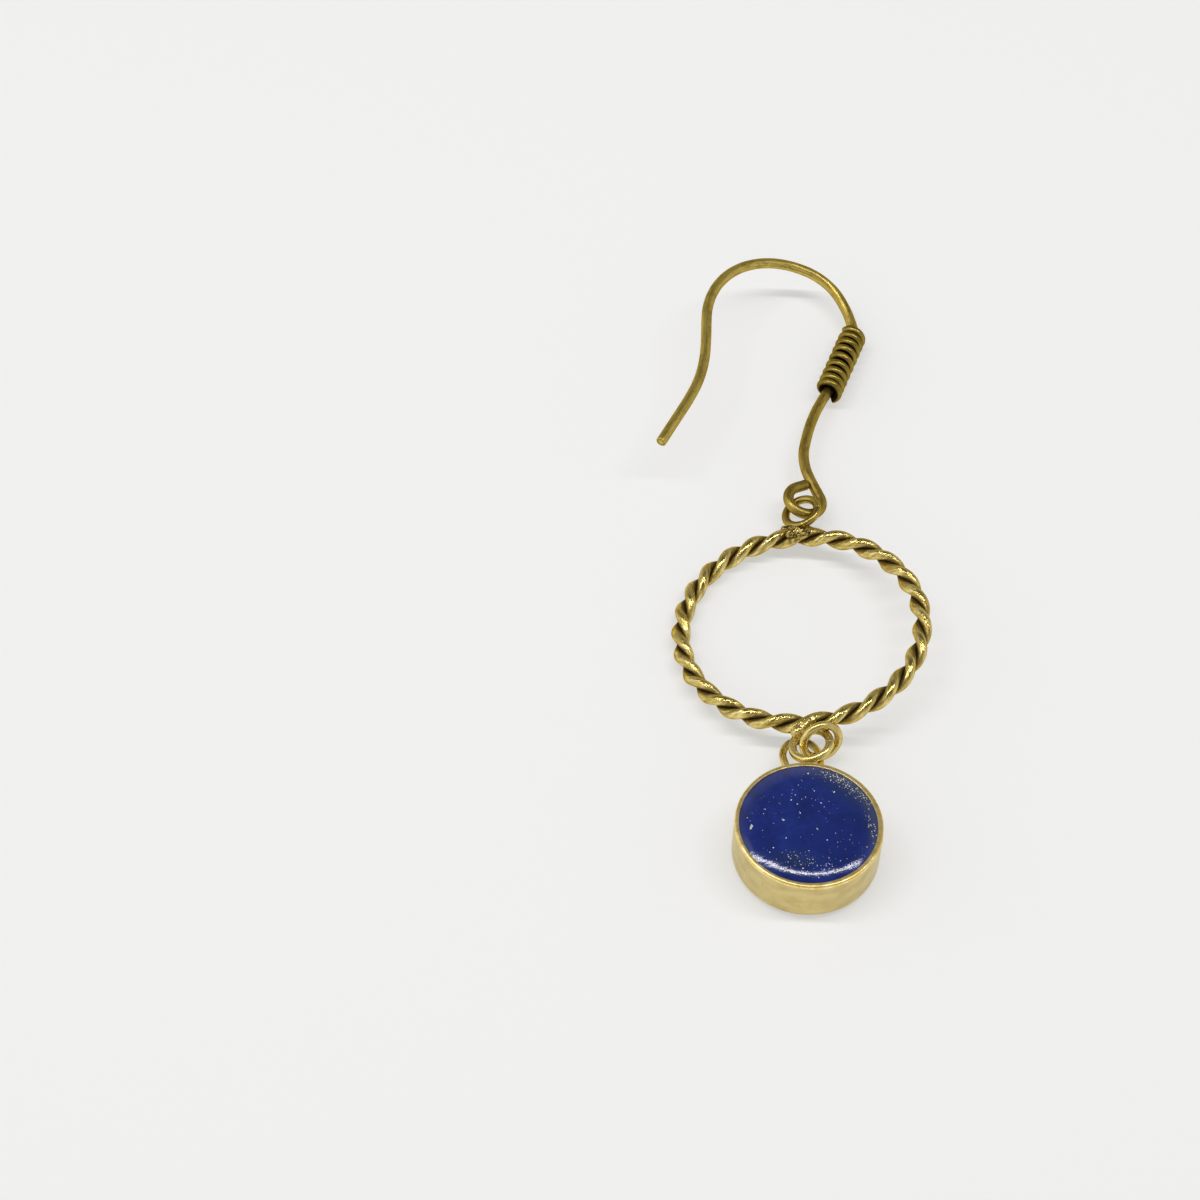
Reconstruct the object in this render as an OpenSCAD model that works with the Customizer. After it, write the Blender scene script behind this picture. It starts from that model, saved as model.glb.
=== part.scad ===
/* [Ear hook] */
// Diameter of the hook wire
hook_wire_d = 1.02; // [0.9:0.02:1.02]
// Straight length at the tip of the tail
tail_length = 6.3; // [5:0.1:7]
// How far the hook leans over, its tail side up
hook_lean = 10.5; // [8:0.5:12]

/* [Wrapped coil] */
// Diameter of the finer wire wound round the hook
coil_wire_d = 0.78; // [0.6:0.02:0.78]
// Mean distance from one turn to the next
coil_pitch = 0.96; // [0.94:0.01:1]
// Turns round the hook
coil_turns = 8.6; // [6:0.1:8.6]

/* [Twisted hoop] */
// Radius of the ring along the middle of the twist
hoop_r = 10.9; // [10.7:0.05:11.1]
// Diameter of each of the two twisted wires
strand_d = 0.96; // [0.9:0.02:1.02]
// Full twists of the two wires round the ring
hoop_twists = 12.5; // [10.5:1:14.5]

/* [Eyes and jump ring] */
// Diameter of the wire of the hoop's two eyes
eye_wire_d = 0.74; // [0.6:0.02:0.8]
// Diameter of the jump ring's wire
jump_wire_d = 0.74; // [0.6:0.02:0.8]
// Radius of the jump ring along the middle of its wire
jump_r = 1.66; // [1.64:0.01:1.7]

/* [Setting and stone] */
// Outer diameter of the setting
cup_d = 12.8; // [12.4:0.1:13]
// Height of the setting
cup_h = 4.95; // [4.6:0.05:5.2]
// Thickness of the setting's wall
cup_wall = 0.35; // [0.3:0.05:0.5]
// Height of the stone's polished top above the rim
stone_rise = 0.3; // [0.2:0.05:0.5]

/* [Hidden] */
$fn = 72;
clearance = 0.04;

// Where the pieces lie, from the middle of the part's base
cup_at = [1.34, -30.05, 0];
hoop_at = [0.99, -7.46, 2.57];
hoop_tilt = [-2.8, -8.2, 0];
leg_at = [5.4, 26.15, 1.49];
leg_heading = 71.5;
top_eye_at = [1.14, 6.13, 2.34];
top_eye_tilt = [-3.5, -26, 0];
top_eye_r = 1.57;
low_eye_at = [1.71, -20.75, 3.31];
low_eye_tilt = [-6.5, -17.4, 0];
low_eye_r = 1.67;
jump_at = [2.61, -20.06, 2.92];
jump_turn = 21.5;
jump_lean = 69.5;

// The hook's bends from its open eye to the tip of its tail, as a wire bender sets them
STRAIGHT = 0;
RADIUS = 1;
BEND = 2;
ROLL = 3;
leg_lower = 4.1;
leg_upper = 3.4;
hook_bends = [
    // straight run, bend radius, bend to the left, roll of the bend's plane
    [1.15, 1.62, 264, 0],
    [2.2, 6.8, -32, -3],
    [0, 22.3, -21.3, 0],
    [0, 2.7, 10, 0],
    [leg_lower, 0, 0, 0],
    [leg_upper, 1.3, 29.8, 10],
    [0, 9.9, 22.7, 0],
    [0, 5.2, 44.8, 0],
    [0, 8.8, 103.5, -3],
    [3, 15, -26.2, 3],
    [tail_length, 0, 0, 0]
];
leg_row = 4;
bend_step = 9;
wire_sides = 16;

hook_wire_r = hook_wire_d / 2;
tail_step = 0.01;
tail_lap = 0.4;

coil_wire_r = coil_wire_d / 2;
coil_r = hook_wire_r + coil_wire_r + clearance;
coil_start = 230;
coil_shift = -0.67;
coil_ease = 0.15;
coil_step = 24;
coil_sides = 8;

strand_r = strand_d / 2;
strand_offset = 0.88 * strand_r;
lay_angle = atan(strand_offset * hoop_twists / hoop_r);
twist_phase = 77;
twist_ease = 23;
twist_ease_at = 25;
rings_per_twist = 14;
lobe_points = 8;
eye_wire_r = eye_wire_d / 2;
eye_sides = 12;
eye_rings = 28;
solder_r = 0.42;

cup_r = cup_d / 2;
rim_lip = 0.05;
cup_floor = 0.8;
cup_edge = 0.8;
cup_edge_step = 15;
shoulder = 1.1;
bail_wire_r = 0.325;
bail_leg = 1.88;
bail_side_r = 4;
bail_side_bend = 36;
bail_top_r = 1.26;
bail_flare = 6;
bail_sink = 0.25;
bail_shift = 0.15;
bail_azimuth = 94;
bail_z = 3.52;
bail_dip = 24.3;

// Moves and turns as 4 by 4 matrices, with x as the wire's heading
identity = [[1, 0, 0, 0], [0, 1, 0, 0], [0, 0, 1, 0], [0, 0, 0, 1]];
function move(v) = [[1, 0, 0, v.x], [0, 1, 0, v.y], [0, 0, 1, v.z], [0, 0, 0, 1]];
function about_x(a) = [[1, 0, 0, 0], [0, cos(a), -sin(a), 0], [0, sin(a), cos(a), 0], [0, 0, 0, 1]];
function about_y(a) = [[cos(a), 0, sin(a), 0], [0, 1, 0, 0], [-sin(a), 0, cos(a), 0], [0, 0, 0, 1]];
function about_z(a) = [[cos(a), -sin(a), 0, 0], [sin(a), cos(a), 0, 0], [0, 0, 1, 0], [0, 0, 0, 1]];
function along_arc(radius, bend) =
    let (r = sign(bend) * radius) move([r * sin(bend), r * (1 - cos(bend)), 0]) * about_z(bend);

// The inverse of a rigid move
function undo(m) =
    let (p = [m[0][3], m[1][3], m[2][3]])
    let (x = [m[0][0], m[1][0], m[2][0]], y = [m[0][1], m[1][1], m[2][1]], z = [m[0][2], m[1][2], m[2][2]])
    [[each x, -x * p], [each y, -y * p], [each z, -z * p], [0, 0, 0, 1]];

function point(m, v) = let (p = m * [v.x, v.y, v.z, 1]) [p.x, p.y, p.z];

// The small moves that make one row of a bend table
function row_steps(row) =
    let (lead = about_x(row[ROLL]) * move([row[STRAIGHT], 0, 0]))
    let (n = ceil(abs(row[BEND]) / bend_step))
    let (arc = n == 0 ? identity : along_arc(row[RADIUS], row[BEND] / n))
    row[STRAIGHT] > 0 ? [lead, for (k = [0:1:n - 1]) arc] : [lead * arc, for (k = [0:1:n - 2]) arc];

// Every frame along a wire, each being the one before it moved by the next step
function chain(steps) = [
    for (i = 0, m = identity; i <= len(steps); m = i < len(steps) ? m * steps[i] : m, i = i + 1) m
];

// Outline points of a round wire
function circle_points(r, sides) =
    [for (k = [0:sides - 1]) [r * cos(360 * k / sides), r * sin(360 * k / sides)]];

// A solid swept along frames, open with flat ends, or closed on itself with the outline turned by some points
module sweep(frames, outline, closed = false, turned = 0) {
    n = len(outline);
    rings = len(frames);
    points = [for (m = frames, p = outline) point(m, [0, p.x, p.y])];
    sides = [
        for (i = [0:closed ? rings - 1 : rings - 2], k = [0:n - 1])
            let (a = i * n, b = ((i + 1) % rings) * n, t = i == rings - 1 ? turned : 0)
            [a + k, b + (k + t) % n, b + (k + t + 1) % n, a + (k + 1) % n]
    ];
    caps = closed ? [] : [[for (k = [0:n - 1]) k], [for (k = [0:n - 1]) rings * n - 1 - k]];
    polyhedron(points = points, faces = concat(sides, caps), convexity = 10);
}

// The hook's frames, placed by the middle of its straight leg
leg_frame = move(leg_at) * about_y(hook_lean) * about_z(leg_heading);
hook_steps = [for (row = hook_bends) each row_steps(row)];
steps_to_leg = len([for (i = [0:leg_row]) each row_steps(hook_bends[i])]);
hook_chain = chain(hook_steps);
hook_frames = let (base = leg_frame * undo(hook_chain[steps_to_leg])) [for (m = hook_chain) base * m];
tail_frame = hook_frames[len(hook_frames) - 2];

module ear_hook() {
    color("#8c7a3c") {
        bent = [for (i = [0:len(hook_frames) - 2]) hook_frames[i]];
        lapped = concat(bent, [tail_frame * move([tail_lap, 0, 0])]);
        sweep(lapped, circle_points(hook_wire_r - tail_step, wire_sides));
        multmatrix(tail_frame) rotate([0, 90, 0]) cylinder(r = hook_wire_r, h = tail_length);
    }
}

// One frame of the coil, left-handed from the eye's end of the leg, its middle turns a little looser
function coil_frame(a) =
    let (lead = atan(coil_pitch / (2 * PI * coil_r)))
    let (eased = coil_ease * sin(a / coil_turns) / (2 * PI))
    let (x = coil_shift + coil_pitch * (a / 360 - coil_turns * (0.5 + eased)))
    leg_frame * move([x, 0, 0]) * about_x(coil_start - a) * move([0, coil_r, 0]) * about_y(90 - lead);

module wire_coil() {
    color("#857334") {
        steps = ceil(coil_turns * 360 / coil_step);
        frames = [for (i = [0:steps]) coil_frame(coil_turns * 360 * i / steps)];
        sweep(frames, circle_points(coil_wire_r, coil_sides));
    }
}

// Outline of the two twisted wires cut square across the twist
function lobe_point(t) = [strand_offset + strand_r * cos(t), strand_r / cos(lay_angle) * sin(t)];
function twist_outline() =
    let (notch = acos(-strand_offset / strand_r))
    [for (side = [1, -1], k = [0:lobe_points - 1]) side * lobe_point(notch * (2 * k / lobe_points - 1))];

// The twist is a little tighter at the upper left, and its half turn over joins each wire to the other
module hoop_rope() {
    rings = hoop_twists * rings_per_twist;
    frames = [
        for (i = [0:rings - 1])
            let (a = 360 * i / rings)
            let (lay = hoop_twists * a + twist_phase - twist_ease * cos(a - twist_ease_at))
            about_z(a) * move([hoop_r, 0, 0]) * about_z(90) * about_x(-lay)
    ];
    translate(hoop_at) rotate(hoop_tilt) sweep(frames, twist_outline(), closed = true, turned = lobe_points);
}

module wire_ring(r, wire_r) {
    frames = [
        for (i = [0:eye_rings - 1])
            about_z(360 * i / eye_rings) * move([r, 0, 0]) * about_z(90)
    ];
    sweep(frames, circle_points(wire_r, eye_sides), closed = true);
}

// A run of solder between points, in beads that melt into each other
module solder(points) {
    for (i = [0:len(points) - 2])
        hull() {
            translate(points[i]) sphere(r = solder_r, $fn = 10);
            translate(points[i + 1]) sphere(r = solder_r, $fn = 10);
        }
}

// A point beside the ring of twisted wires, by its bearing, distance out and height
function hoop_point(bearing, out, up) =
    point(
        move(hoop_at) * about_y(hoop_tilt.y) * about_x(hoop_tilt.x) * about_z(bearing),
        [hoop_r + out, 0, up]
    );

module twisted_hoop() {
    color("#a08a48") {
        hoop_rope();
        translate(top_eye_at) rotate(top_eye_tilt) wire_ring(top_eye_r, eye_wire_r);
        translate(low_eye_at) rotate(low_eye_tilt) wire_ring(low_eye_r, eye_wire_r);
        solder([for (k = [-3:3]) hoop_point(88 + 3 * k, 0.8 + 0.05 * k, 0.1)]);
        solder([for (k = [-3:1]) hoop_point(277 + 3 * k, 0.9, 0.1)]);
    }
}

module jump_ring() {
    color("#c2a75c")
        translate(jump_at) rotate([0, 0, jump_turn]) rotate([jump_lean, 0, 0])
            rotate_extrude() translate([jump_r, 0]) circle(r = jump_wire_d / 2);
}

// Half section of the setting: floor, wall and burnished lip
module cup_section() {
    polygon([
        [0, 0],
        for (t = [0:cup_edge_step:90]) [cup_r - cup_edge + cup_edge * sin(t), cup_edge * (1 - cos(t))],
        [cup_r, cup_h - 0.3],
        [cup_r - 0.1, cup_h - 0.08],
        [cup_r - 0.22, cup_h],
        [cup_r - cup_wall - rim_lip + 0.08, cup_h],
        [cup_r - cup_wall - rim_lip, cup_h - 0.06],
        [cup_r - cup_wall, cup_h - 0.5],
        [cup_r - cup_wall, cup_floor],
        [0, cup_floor]
    ]);
}

// The setting's eye: an oval loop of wire that dips away from the wall its two feet are soldered into
module bail() {
    leg = bail_leg + bail_sink;
    lean_in = bail_side_bend - bail_flare;
    oval = bail_top_r * cos(lean_in) + bail_side_r * (cos(bail_flare) - cos(lean_in));
    half_gap = oval - bail_leg * sin(bail_flare);
    steps = concat(
        [about_z(-bail_flare)],
        row_steps([leg, bail_side_r, bail_side_bend, 0]),
        row_steps([0, bail_top_r, 180 - 2 * lean_in, 0]),
        row_steps([0, bail_side_r, bail_side_bend, 0]),
        [move([leg, 0, 0])]
    );
    frames = chain(steps);
    translate(cup_at + [bail_shift, 0, bail_z]) rotate([0, 0, bail_azimuth])
        translate([cup_r, 0, 0]) rotate([0, bail_dip, 0]) translate([-bail_sink, -half_gap, 0])
            sweep([for (i = [1:len(frames) - 1]) frames[i]], circle_points(bail_wire_r, wire_sides));
}

module bezel_cup() {
    color("#c8ab62") {
        translate(cup_at) rotate_extrude() cup_section();
        bail();
    }
}

// The stone fills the setting, with a rounded shoulder and a nearly flat top
module stone_section() {
    r = cup_r - cup_wall - clearance;
    edge_r = r - rim_lip;
    edge_z = cup_h - 0.04;
    polygon([
        [0, cup_floor + clearance],
        [r, cup_floor + clearance],
        [r, cup_h - 0.55],
        [edge_r, cup_h - 0.48],
        for (t = [0:15:75])
            [edge_r - shoulder * (1 - cos(t)), edge_z + (cup_h + stone_rise - edge_z - 0.03) * sin(t)],
        [edge_r - 2 * shoulder, cup_h + stone_rise - 0.01],
        [0, cup_h + stone_rise]
    ]);
}

module lapis_stone() {
    color("#25286e") translate(cup_at) rotate_extrude() stone_section();
}

ear_hook();
wire_coil();
twisted_hoop();
jump_ring();
bezel_cup();
lapis_stone();
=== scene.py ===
import math
import random

import bpy
import numpy as np
from mathutils import Matrix, Vector, noise


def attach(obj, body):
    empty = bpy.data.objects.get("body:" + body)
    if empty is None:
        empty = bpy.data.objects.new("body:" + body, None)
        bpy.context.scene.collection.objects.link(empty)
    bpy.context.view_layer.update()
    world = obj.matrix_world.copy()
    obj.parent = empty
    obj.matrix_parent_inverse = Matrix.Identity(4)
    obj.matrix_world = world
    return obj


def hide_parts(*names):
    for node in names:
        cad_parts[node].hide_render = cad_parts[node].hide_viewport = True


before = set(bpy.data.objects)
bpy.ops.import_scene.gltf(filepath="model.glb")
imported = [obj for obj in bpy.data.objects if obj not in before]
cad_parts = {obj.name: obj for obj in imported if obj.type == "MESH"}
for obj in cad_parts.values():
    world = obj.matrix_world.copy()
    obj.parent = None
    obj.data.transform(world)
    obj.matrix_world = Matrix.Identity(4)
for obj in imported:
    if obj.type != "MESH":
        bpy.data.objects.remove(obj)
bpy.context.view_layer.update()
random.seed(7)

# Sizes in millimetres and angles in degrees, as in the part's source
MM = 0.001
CLEARANCE = 0.04

HOOK_R = 0.51
LEG_LOWER = 4.1
LEG_UPPER = 3.4
TAIL = 6.3
LEG_AT = (5.4, 26.15, 1.49)
LEG_HEADING = 71.5
HOOK_LEAN = 10.5
BEND_STEP = 9
# The hook's rows of straight length, bend radius, bend and roll, from its eye to its tail
HOOK_BENDS = [
    (1.15, 1.62, 264, 0),
    (2.2, 6.8, -32, -3),
    (0, 22.3, -21.3, 0),
    (0, 2.7, 10, 0),
    (LEG_LOWER, 0, 0, 0),
    (LEG_UPPER, 1.3, 29.8, 10),
    (0, 9.9, 22.7, 0),
    (0, 5.2, 44.8, 0),
    (0, 8.8, 103.5, -3),
    (3, 15, -26.2, 3),
    (TAIL, 0, 0, 0),
]
LEG_ROW = 4

COIL_WIRE_R = 0.39
COIL_PITCH = 0.96
COIL_TURNS = 8.6
COIL_START = 230
COIL_SHIFT = -0.67
COIL_EASE = 0.15

HOOP_R = 10.9
HOOP_AT = (0.99, -7.46, 2.57)
HOOP_TILT = (-2.8, -8.2, 0)
STRAND_R = 0.48
STRAND_OFFSET = 0.88 * STRAND_R
HOOP_TWISTS = 12.5
TWIST_PHASE = 77
TWIST_EASE = 23
TWIST_EASE_AT = 25

EYE_WIRE_R = 0.37
# Place, tilt and radius of the hoop's two eyes
TOP_EYE = ((1.14, 6.13, 2.34), (-3.5, -26, 0), 1.57)
LOW_EYE = ((1.71, -20.75, 3.31), (-6.5, -17.4, 0), 1.67)
JUMP_WIRE_R = 0.37
JUMP_R = 1.66
JUMP_AT = (2.61, -20.06, 2.92)
JUMP_TURN = 21.5
JUMP_LEAN = 69.5

CUP_AT = (1.34, -30.05, 0)
CUP_R = 6.4
CUP_H = 4.95
CUP_WALL = 0.35
CUP_FLOOR = 0.8
CUP_EDGE = 0.8
RIM_LIP = 0.05
STONE_RISE = 0.3
SHOULDER = 1.1

BAIL_WIRE_R = 0.325
BAIL_LEG = 1.88
BAIL_SIDE_R = 4
BAIL_SIDE_BEND = 36
BAIL_TOP_R = 1.26
BAIL_FLARE = 6
BAIL_SINK = 0.25
BAIL_SHIFT = 0.15
BAIL_AZIMUTH = 94
BAIL_Z = 3.52
BAIL_DIP = 24.3

# What the visual model takes off its radii so that its unevenness stays inside the solid
HOOK_TRIM = 0.012
COIL_TRIM = 0.007
STRAND_TRIM = 0.008
CUP_TRIM = 0.006

# Where the hook's wire starts and ends in its attribute, which the ageing goes by
HOOK_FROM = 3.0
HOOK_TO = HOOK_FROM + 71.6

# How a mesh wire's ends round off: share of its radius, and how far in
ROUND_OFF = 0.12
ROUNDED_END = ((0.0, 0.0), (0.55, 0.0), (0.88, 0.0), (0.97, 0.4), (1.0, 1.0))
# How fast the dents of a wire change along it and round it
DENT_ALONG = 0.8
DENT_SCALE = 1.3
# Where on the hoop the soot of its upper joint lies, as bearing and spread
JOINT_AT = 92.5
JOINT_SPREAD = 4.5
# Depth in the twist's groove: where its painted shade and soot start, and over how much they
# thicken
GROOVE_FROM = 0.8
GROOVE_DEPTH = 0.42
# Radii of the rim's outer and inner edge, and the shape of the stone's shoulder
RIM_ROUND = 0.22
LIP_ROUND = 0.08
SHOULDER_REACH = 1.5
SHOULDER_CURVE = 2.1

# How finely the meshes are cut
WIRE_SIDES = 28
RING_STEPS = 120
COIL_STEPS_PER_TURN = 60
STRAND_STEPS = 1560
STRAND_SIDES = 26
BAIL_LEG_STEPS = 21
CUP_STEPS = 288
STONE_STEPS = 256
STONE_ROWS = 46


# Moves and turns as matrices, with x as a wire's heading
def move(x, y=0.0, z=0.0):
    return Matrix.Translation((x, y, z))


def turn(axis, degrees):
    return Matrix.Rotation(math.radians(degrees), 4, axis)


def placed(at, tilt):
    return move(*at) @ turn("Z", tilt[2]) @ turn("Y", tilt[1]) @ turn("X", tilt[0])


def along_arc(radius, bend):
    r = math.copysign(radius, bend)
    b = math.radians(bend)
    return move(r * math.sin(b), r * (1 - math.cos(b))) @ turn("Z", bend)


# One row of a bend table as small steps, each with the length of wire it uses
def row_steps(row, bend_step=2.0, straight_step=0.35):
    straight, radius, bend, roll = row
    steps = [(turn("X", roll), 0.0)]
    if straight > 0:
        n = math.ceil(straight / straight_step)
        steps += [(move(straight / n), straight / n)] * n
    n = math.ceil(abs(bend) / bend_step)
    if n:
        steps += [(along_arc(radius, bend / n), radius * math.radians(abs(bend) / n))] * n
    return steps


# The frames along a wire, with how far along it each one is
def chain(steps, start):
    frames = [(start.copy(), 0.0)]
    m, s = start.copy(), 0.0
    for step, length in steps:
        m = m @ step
        if length > 0:
            s += length
            frames.append((m.copy(), s))
        elif len(frames) == 1:
            frames[0] = (m.copy(), 0.0)
    return frames


def ring_frames(place, r, steps):
    return [
        (place @ turn("Z", 360 * i / steps) @ move(r) @ turn("Z", 90), 2 * math.pi * r * i / steps)
        for i in range(steps)
    ]


def arc_points(cx, cz, r, start, end, n):
    angles = [math.radians(start + (end - start) * k / n) for k in range(n + 1)]
    return [(cx + r * math.cos(a), cz + r * math.sin(a)) for a in angles]


def rough_at(x, y, z):
    return noise.noise(Vector((x, y, z)))


def clamped(value):
    return min(1.0, max(0.0, value))


# Faces between rows of points, where a row of one point closes an end
def skin(rows, closed=False):
    sides = max(len(row) for row in rows)
    faces = []
    for a, b in zip(rows, rows[1:] + rows[:1] if closed else rows[1:]):
        for j in range(sides):
            q = (j + 1) % sides
            if len(a) == 1:
                faces.append((a[0], b[q], b[j]))
            elif len(b) == 1:
                faces.append((a[j], a[q], b[0]))
            else:
                faces.append((a[j], a[q], b[q], b[j]))
    return faces


class Shape:
    """Points in millimetres, faces and attributes, gathered before they become one piece.

    The wire attribute is a point's place on the straightened wire, and groove masks its darker
    colour: painted shade with soot in hollows, soot at a joint, a darker seam, and on the stone its
    haze.
    """

    def __init__(self):
        self.points, self.faces, self.wire, self.groove, self.slots = [], [], [], [], []

    def add(self, points, faces, wire, groove, slot=0):
        base = len(self.points)
        self.points += points
        self.faces += [tuple(base + i for i in f) for f in faces]
        self.wire += wire
        self.groove += groove
        self.slots += [slot] * len(faces)

    def piece(self, name, materials):
        mesh = bpy.data.meshes.new(name)
        mesh.from_pydata([tuple(c * MM for c in p) for p in self.points], [], self.faces)
        wire = mesh.attributes.new("wire", "FLOAT_VECTOR", "POINT")
        wire.data.foreach_set("vector", np.array(self.wire, np.float32).ravel())
        groove = mesh.attributes.new("groove", "FLOAT", "POINT")
        groove.data.foreach_set("value", np.array(self.groove, np.float32))
        for material in materials:
            mesh.materials.append(material)
        mesh.polygons.foreach_set("material_index", np.array(self.slots, np.int32))
        mesh.polygons.foreach_set("use_smooth", np.ones(len(mesh.polygons), bool))
        mesh.update()
        piece = bpy.data.objects.new(name, mesh)
        bpy.context.scene.collection.objects.link(piece)
        return piece


# A round wire along frames, open with slightly rounded ends or closed on itself
def wire_mesh(
    shape, frames, radius, dent, seed,
    sides=WIRE_SIDES, closed=False, slot=0, flare=None, sunk=None,
):
    stations = [(m, s, 1.0, 0.0) for m, s in frames]
    if not closed:
        (m0, s0), (m1, s1) = frames[0], frames[-1]
        depth = ROUND_OFF * radius
        first = [(m0, s0, share, inset * depth) for share, inset in ROUNDED_END]
        last = [(m1, s1, share, -inset * depth) for share, inset in reversed(ROUNDED_END)]
        stations = first + stations[1:-1] + last
    points, wire, groove, rows = [], [], [], []
    for m, s, share, shift in stations:
        row = []
        for j in range(1 if share == 0.0 else sides):
            t = 2 * math.pi * j / sides
            y, z = math.cos(t), math.sin(t)
            r = radius * share
            along = DENT_ALONG * s * DENT_SCALE
            r *= 1 + dent * rough_at(along + seed, y * DENT_SCALE, z * DENT_SCALE)
            if flare:
                r += flare(s)
            row.append(len(points))
            points.append(tuple(m @ Vector((shift, r * y, r * z))))
            wire.append((s + seed, radius * share * y, radius * share * z))
            groove.append(sunk(s, y) if sunk else 0.0)
        rows.append(row)
    shape.add(points, skin(rows, closed), wire, groove, slot)


# A round profile turned about z, with the profile's points as (radius, height)
def lathe_mesh(shape, place, profile, steps, change, groove_of):
    points, wire, groove, rows = [], [], [], []
    for r, z in profile:
        row = []
        for j in range(1 if r == 0 else steps):
            a = 2 * math.pi * j / steps
            dr, dz = change(a, r, z)
            p = place @ Vector(((r + dr) * math.cos(a), (r + dr) * math.sin(a), z + dz))
            row.append(len(points))
            points.append(tuple(p))
            wire.append((r * math.cos(a), r * math.sin(a), z))
            groove.append(groove_of(r, a))
        rows.append(row)
    outward = [(first, *others[::-1]) for first, *others in skin(rows)]
    shape.add(points, outward, wire, groove)


# Helpers for a node tree
class Graph:
    def __init__(self, tree):
        self.tree = tree

    def feed(self, socket, value):
        if isinstance(value, bpy.types.NodeSocket):
            self.tree.links.new(value, socket)
        elif socket.type == "RGBA":
            socket.default_value = (*value, 1.0)
        else:
            socket.default_value = value

    def add(self, kind, **inputs):
        node = self.tree.nodes.new(kind)
        for key, value in inputs.items():
            self.feed(node.inputs[key.replace("_", " ")], value)
        return node

    def stretched(self, vector, scale, offset=(0, 0, 0)):
        node = self.add("ShaderNodeMapping", Vector=vector, Scale=scale, Location=offset)
        return node.outputs["Vector"]

    def noise(self, vector, scale, detail=3.0, roughness=0.55, distortion=0.0):
        node = self.add(
            "ShaderNodeTexNoise", Vector=vector, Scale=scale, Detail=detail,
            Roughness=roughness, Distortion=distortion,
        )
        return node.outputs["Fac"]

    def streaks(self, vector, scale, offset=(0, 0, 0), detail=3.0, roughness=0.55, distortion=0.0):
        return self.noise(self.stretched(vector, scale, offset), 1.0, detail, roughness, distortion)

    # A colour ramp from stops that give the colour at each position
    def ramp(self, factor, stops):
        node = self.add("ShaderNodeValToRGB", Fac=factor)
        elements = node.color_ramp.elements
        while len(elements) < len(stops):
            elements.new(0.5)
        for element, (position, colour) in zip(elements, stops.items()):
            element.position = position
            element.color = (*colour, 1.0)
        return node.outputs["Color"]

    def span(self, factor, low, high, to_low=0.0, to_high=1.0, kind="LINEAR"):
        node = self.add(
            "ShaderNodeMapRange", Value=factor, From_Min=low, From_Max=high,
            To_Min=to_low, To_Max=to_high,
        )
        node.interpolation_type = kind
        return node.outputs["Result"]

    def maths(self, operation, a, b=0.0):
        node = self.tree.nodes.new("ShaderNodeMath")
        node.operation = operation
        self.feed(node.inputs[0], a)
        self.feed(node.inputs[1], b)
        return node.outputs[0]

    def plus(self, a, b):
        return self.maths("ADD", a, b)

    def minus(self, a, b):
        return self.maths("SUBTRACT", a, b)

    def times(self, a, b):
        return self.maths("MULTIPLY", a, b)

    def dot(self, vector, axis):
        node = self.tree.nodes.new("ShaderNodeVectorMath")
        node.operation = "DOT_PRODUCT"
        self.feed(node.inputs[0], vector)
        self.feed(node.inputs[1], axis)
        return node.outputs["Value"]

    # The colour sockets of a Mix node are its inputs 6 and 7 and its output 2
    def mix(self, factor, a, b, blend="MIX"):
        node = self.tree.nodes.new("ShaderNodeMix")
        node.data_type = "RGBA"
        node.blend_type = blend
        self.feed(node.inputs[0], factor)
        self.feed(node.inputs[6], a)
        self.feed(node.inputs[7], b)
        return node.outputs[2]

    def bump(self, height, strength, distance, normal=None):
        node = self.add("ShaderNodeBump", Height=height, Strength=strength, Distance=distance)
        if normal is not None:
            self.feed(node.inputs["Normal"], normal)
        return node.outputs["Normal"]


# The node tree of a new material
class Surface(Graph):
    def __init__(self, name):
        self.material = bpy.data.materials.new(name)
        self.material.use_nodes = True
        super().__init__(self.material.node_tree)
        self.shader = next(n for n in self.tree.nodes if n.type == "BSDF_PRINCIPLED")

    def attribute(self, name, output):
        node = self.tree.nodes.new("ShaderNodeAttribute")
        node.attribute_name = name
        return node.outputs[output]

    def wire(self):
        return self.attribute("wire", "Vector")

    def groove(self):
        return self.attribute("groove", "Fac")

    def set(self, **inputs):
        for key, value in inputs.items():
            self.feed(self.shader.inputs[key.replace("_", " ")], value)
        return self.material


# Dark colours that the metals share: films, soot and nicks, and painted shade in the coil's and the
# twist's hollows and on the setting eye's top
COIL_SHADE_AND_SOOT = (0.012, 0.007, 0.002)
NICK_BROWN = (0.25, 0.16, 0.035)
ROPE_BROWN = (0.27, 0.185, 0.048)
ROPE_SHADE_AND_SOOT = (0.035, 0.022, 0.008)
SHADE_AND_SEAM_DARK = (0.035, 0.02, 0.006)
FOOT_BROWN = (0.2, 0.13, 0.04)
PIT_SOOT = (0.05, 0.03, 0.008)
RIM_ROUGHNESS = 0.33


# The hook is darker below its arch, most of all at its eye, and a ring marks its sawn end
def hook_ageing(n, wire, cloud, colour, dark):
    along, across, over = n.add("ShaderNodeSeparateXYZ", Vector=wire).outputs
    old = n.mix(1.0, colour, (0.8, 0.76, 0.68), "MULTIPLY")
    colour = n.mix(n.span(n.plus(along, n.times(cloud, 8.0)), 37.0, 50.0), old, colour)
    eye = n.mix(1.0, colour, (0.82, 0.82, 0.84), "MULTIPLY")
    colour = n.mix(n.span(along, 13.0, 10.0), colour, eye)
    dirt = n.span(n.streaks(wire, (1.1, 3.4, 3.4), (0, 2, 8), 5.0, 0.65), 0.53, 0.66)
    colour = n.mix(n.times(dirt, n.span(along, 40.0, 60.0, 0.7, 0.25)), colour, dark)
    cut = n.maths("GREATER_THAN", along, HOOK_TO - 0.03)
    middle = n.maths("SQRT", n.plus(n.maths("POWER", across, 2.0), n.maths("POWER", over, 2.0)))
    ring = n.span(n.maths("ABSOLUTE", n.minus(middle, 0.33)), 0.09, 0.03)
    return n.mix(n.times(cut, n.times(ring, 0.8)), colour, dark)


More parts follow.
